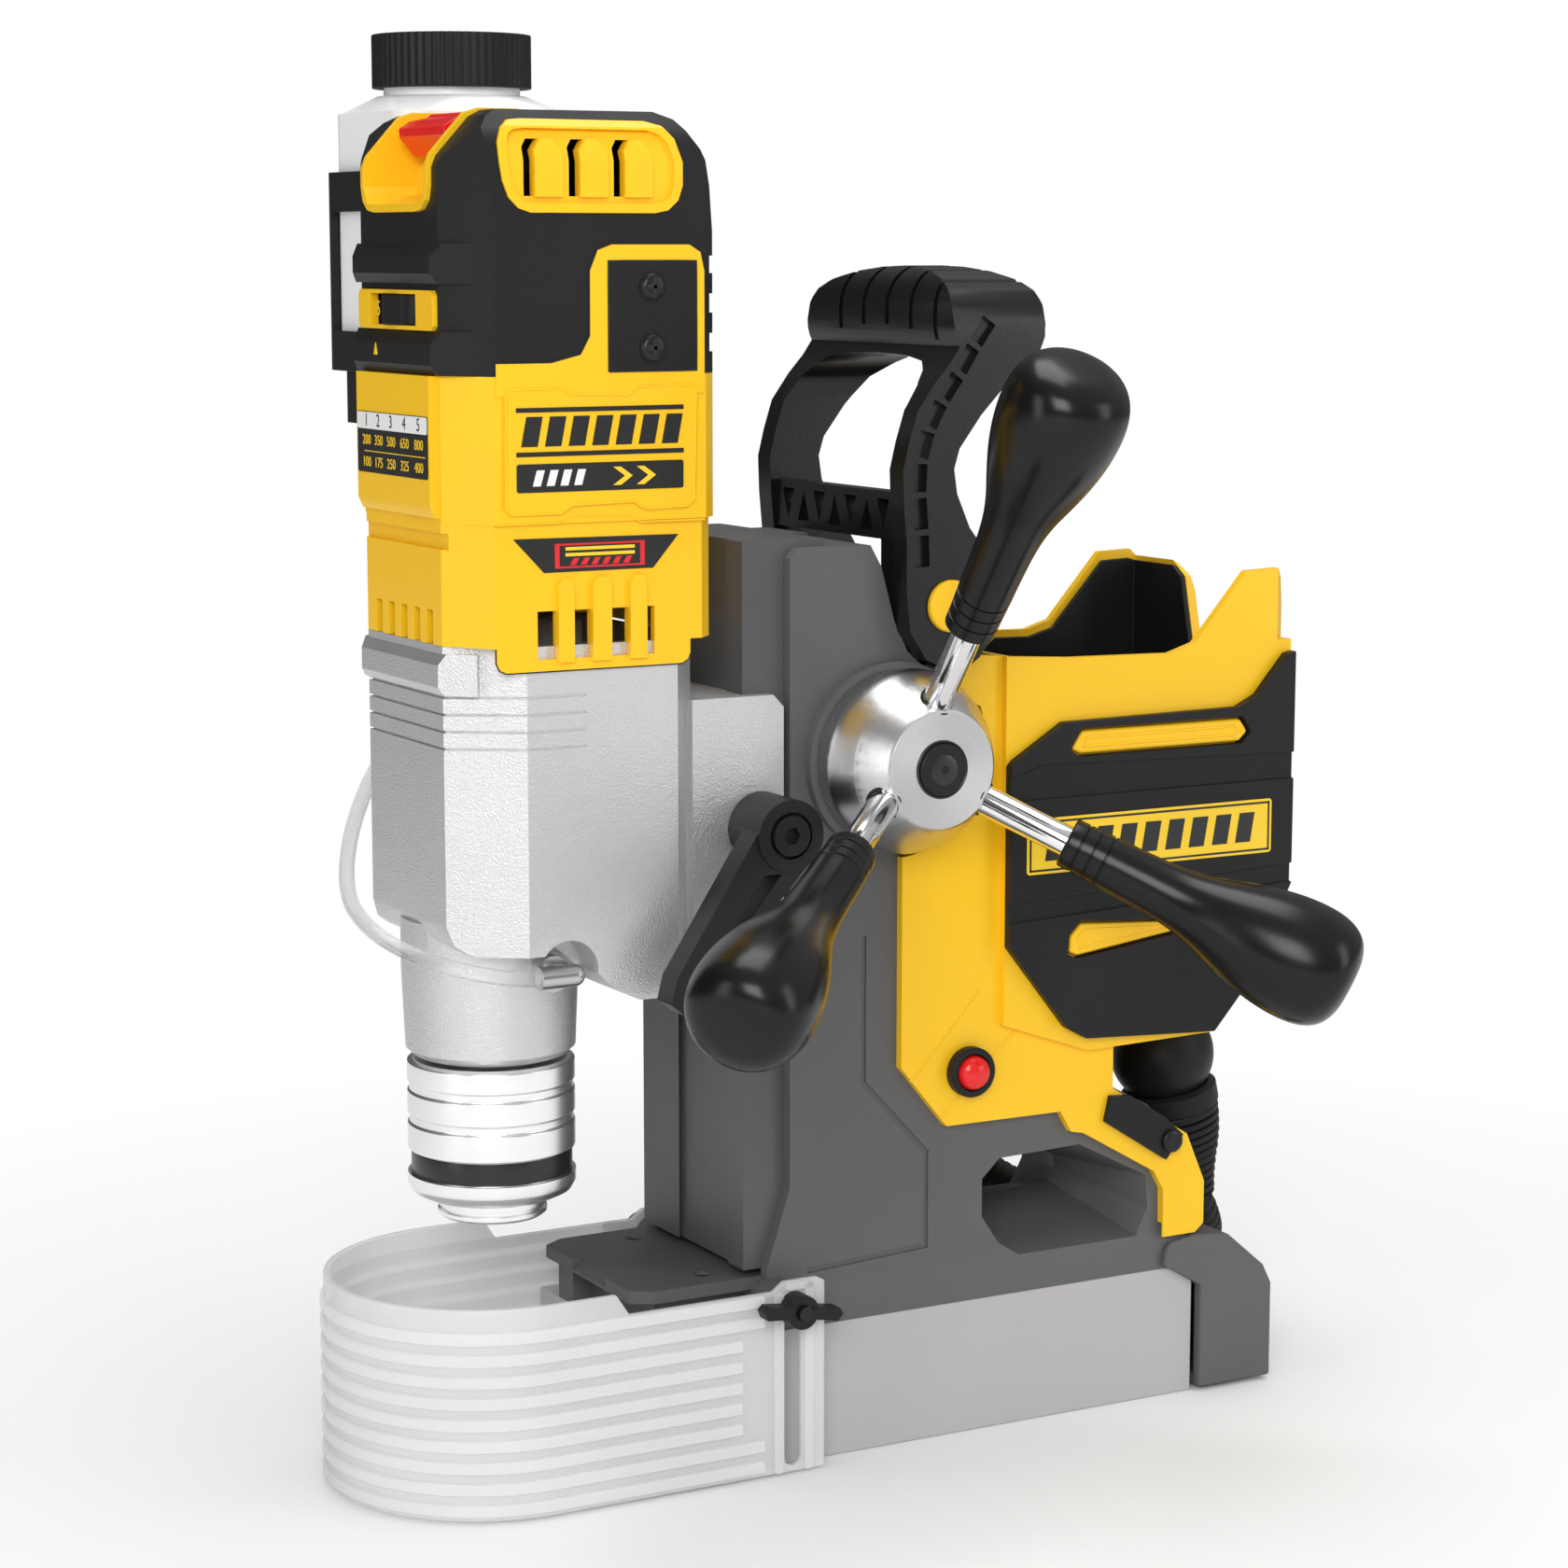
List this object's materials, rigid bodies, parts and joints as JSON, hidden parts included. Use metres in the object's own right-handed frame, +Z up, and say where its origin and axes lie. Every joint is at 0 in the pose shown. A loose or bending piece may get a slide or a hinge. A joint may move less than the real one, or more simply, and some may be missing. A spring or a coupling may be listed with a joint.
{
  "type": "magnetic drill press",
  "caption": "Cordless magnetic drill press: magnet base, geared feed slide with spoked hub, motor head with chuck, coolant bottle, chip guard and battery dock.",
  "frame": {"origin": "centre of the magnet's bottom face, which stands on the steel being drilled", "axes": "+Z up along the spindle; +X from the drill head to the battery dock; -Y towards the side with the feed handles"},
  "size_m": [0.3564, 0.2675, 0.4635],
  "materials": {
    "magnet_steel": "satin light grey over steel",
    "coil": "enamelled copper wire",
    "potting": "cast resin",
    "casting": "satin grey paint",
    "bronze": "plain bronze",
    "black_plastic": "fine-grained black",
    "yellow": "semi-gloss yellow",
    "terminals": "black with metal blades",
    "board": "green circuit board",
    "dark_steel": "blackened steel",
    "black_rubber": "ribbed black rubber",
    "steel": "ground steel",
    "brushed": "bright turned steel",
    "chrome": "chrome plate",
    "knob_black": "moulded black",
    "silver_cast": "blasted silver casting",
    "stator": "laminated steel",
    "clear_tube": "clear flexible tube",
    "red": "bright red",
    "bottle_white": "milky white",
    "guard_clear": "frosted clear plastic"
  },
  "bodies": {
    "base": {"magnet_housing": "magnet_steel", "magnet_coil": "coil", "magnet_potting": "potting", "base_casting": "casting", "shaft_bushings": "bronze", "end_cap": "casting", "carry_handle": "black_plastic", "handle_caps": "yellow", "dock_shell_near": "yellow", "dock_shell_far": "yellow", "dock_liner": "black_plastic", "battery_terminals": "terminals", "side_pad_near": "black_plastic", "side_pad_far": "black_plastic", "control_board": "board", "button_bezel": "black_plastic", "rear_covers": "black_plastic", "fixings": "dark_steel", "cable_ball": "black_plastic", "cable_bellows": "black_rubber", "power_conduit": "black_rubber"},
    "slide": {"feed_slide": "casting", "feed_rack": "steel", "slide_gland": "black_plastic"},
    "feed": {"feed_shaft": "steel", "feed_pinion": "steel", "feed_hub": "brushed", "feed_spokes": "chrome", "feed_knobs": "knob_black", "hub_cap": "black_plastic"},
    "head": {"gearbox_housing": "silver_cast", "bearing_plate": "silver_cast", "head_bearings": "steel", "motor_housing": "yellow", "motor_stator": "stator", "top_cover": "black_plastic", "top_grilles": "yellow", "paddle_cup": "yellow", "motor_board": "board", "side_cover": "black_plastic", "head_screws": "dark_steel", "bottle_bracket": "black_plastic", "coolant_port": "brushed", "coolant_tube": "clear_tube"},
    "rotor": {"motor_rotor": "steel", "cooling_fan": "black_plastic"},
    "idler": {"idler_gear": "steel"},
    "spindle": {"spindle": "steel", "spindle_gear": "steel", "chuck_body": "brushed"},
    "sleeve": {"chuck_sleeve": "brushed"},
    "lever": {"clamp_lever": "black_plastic"},
    "dial": {"speed_dial": "black_plastic"},
    "paddle": {"power_paddle": "red"},
    "button": {"magnet_button": "red"},
    "bottle": {"coolant_bottle": "bottle_white"},
    "cap": {"bottle_cap": "black_plastic"},
    "guard": {"chip_guard": "guard_clear"},
    "wing_near": {"wing_nut_near": "black_plastic"},
    "wing_far": {"wing_nut_far": "black_plastic"}
  },
  "joints": [
    {"name": "feed", "type": "slide", "parent": "base", "child": "slide", "axis": [0, 0, 1], "range_m": [0, 0.11], "deforming": ["power_conduit"]},
    {"name": "feed_handle", "type": "hinge", "parent": "base", "child": "feed", "pos_m": [-0.0165, 0, 0.231], "axis": [0, 1, 0], "range_deg": [0, 526]},
    {"name": "head_adjust", "type": "slide", "parent": "slide", "child": "head", "axis": [0, 0, 1], "range_m": [-0.07, 0.045]},
    {"name": "spindle_spin", "type": "hinge", "parent": "head", "child": "spindle", "pos_m": [-0.141, 0, 0.11], "axis": [0, 0, 1], "continuous": true},
    {"name": "idler_spin", "type": "hinge", "parent": "head", "child": "idler", "pos_m": [-0.11648, 0.01929, 0.2], "axis": [0, 0, 1], "continuous": true},
    {"name": "motor_spin", "type": "hinge", "parent": "head", "child": "rotor", "pos_m": [-0.129, 0, 0.3], "axis": [0, 0, 1], "continuous": true},
    {"name": "chuck_release", "type": "slide", "parent": "spindle", "child": "sleeve", "axis": [0, 0, -1], "range_m": [0, 0.007], "stiffness_N_per_m": 500, "springref_m": -0.006},
    {"name": "head_clamp", "type": "hinge", "parent": "head", "child": "lever", "pos_m": [-0.065, -0.05, 0.212], "axis": [0, 1, 0], "range_deg": [-40, 50]},
    {"name": "speed_turn", "type": "hinge", "parent": "head", "child": "dial", "pos_m": [-0.1508, 0.002, 0.3755], "axis": [0, 0, 1], "range_deg": [0, 144]},
    {"name": "power_press", "type": "hinge", "parent": "head", "child": "paddle", "pos_m": [-0.1485, 0, 0.4288], "axis": [0, 1, 0], "range_deg": [-8, 0]},
    {"name": "magnet_press", "type": "slide", "parent": "base", "child": "button", "axis": [0, 1, 0], "range_m": [0, 0.0025], "stiffness_N_per_m": 300},
    {"name": "bottle_lift", "type": "slide", "parent": "head", "child": "bottle", "axis": [0, 0, 1], "range_m": [0, 0.06]},
    {"name": "cap_turn", "type": "hinge", "parent": "bottle", "child": "cap", "pos_m": [-0.115, 0.08, 0.45], "axis": [0, 0, 1], "continuous": true},
    {"name": "guard_height", "type": "slide", "parent": "base", "child": "guard", "axis": [0, 0, 1], "range_m": [0, 0.048]},
    {"name": "wing_nut_near_turn", "type": "hinge", "parent": "base", "child": "wing_near", "pos_m": [-0.0588, -0.055, 0.056], "axis": [0, 1, 0], "continuous": true},
    {"name": "wing_nut_far_turn", "type": "hinge", "parent": "base", "child": "wing_far", "pos_m": [-0.0588, 0.055, 0.056], "axis": [0, 1, 0], "continuous": true}
  ],
  "couplings": [
    {"joint": "feed_handle", "follows": "feed", "rad_per_m": 83.333},
    {"joint": "idler_spin", "follows": "spindle_spin", "ratio": -2.7143},
    {"joint": "motor_spin", "follows": "spindle_spin", "ratio": 9.7714}
  ]
}
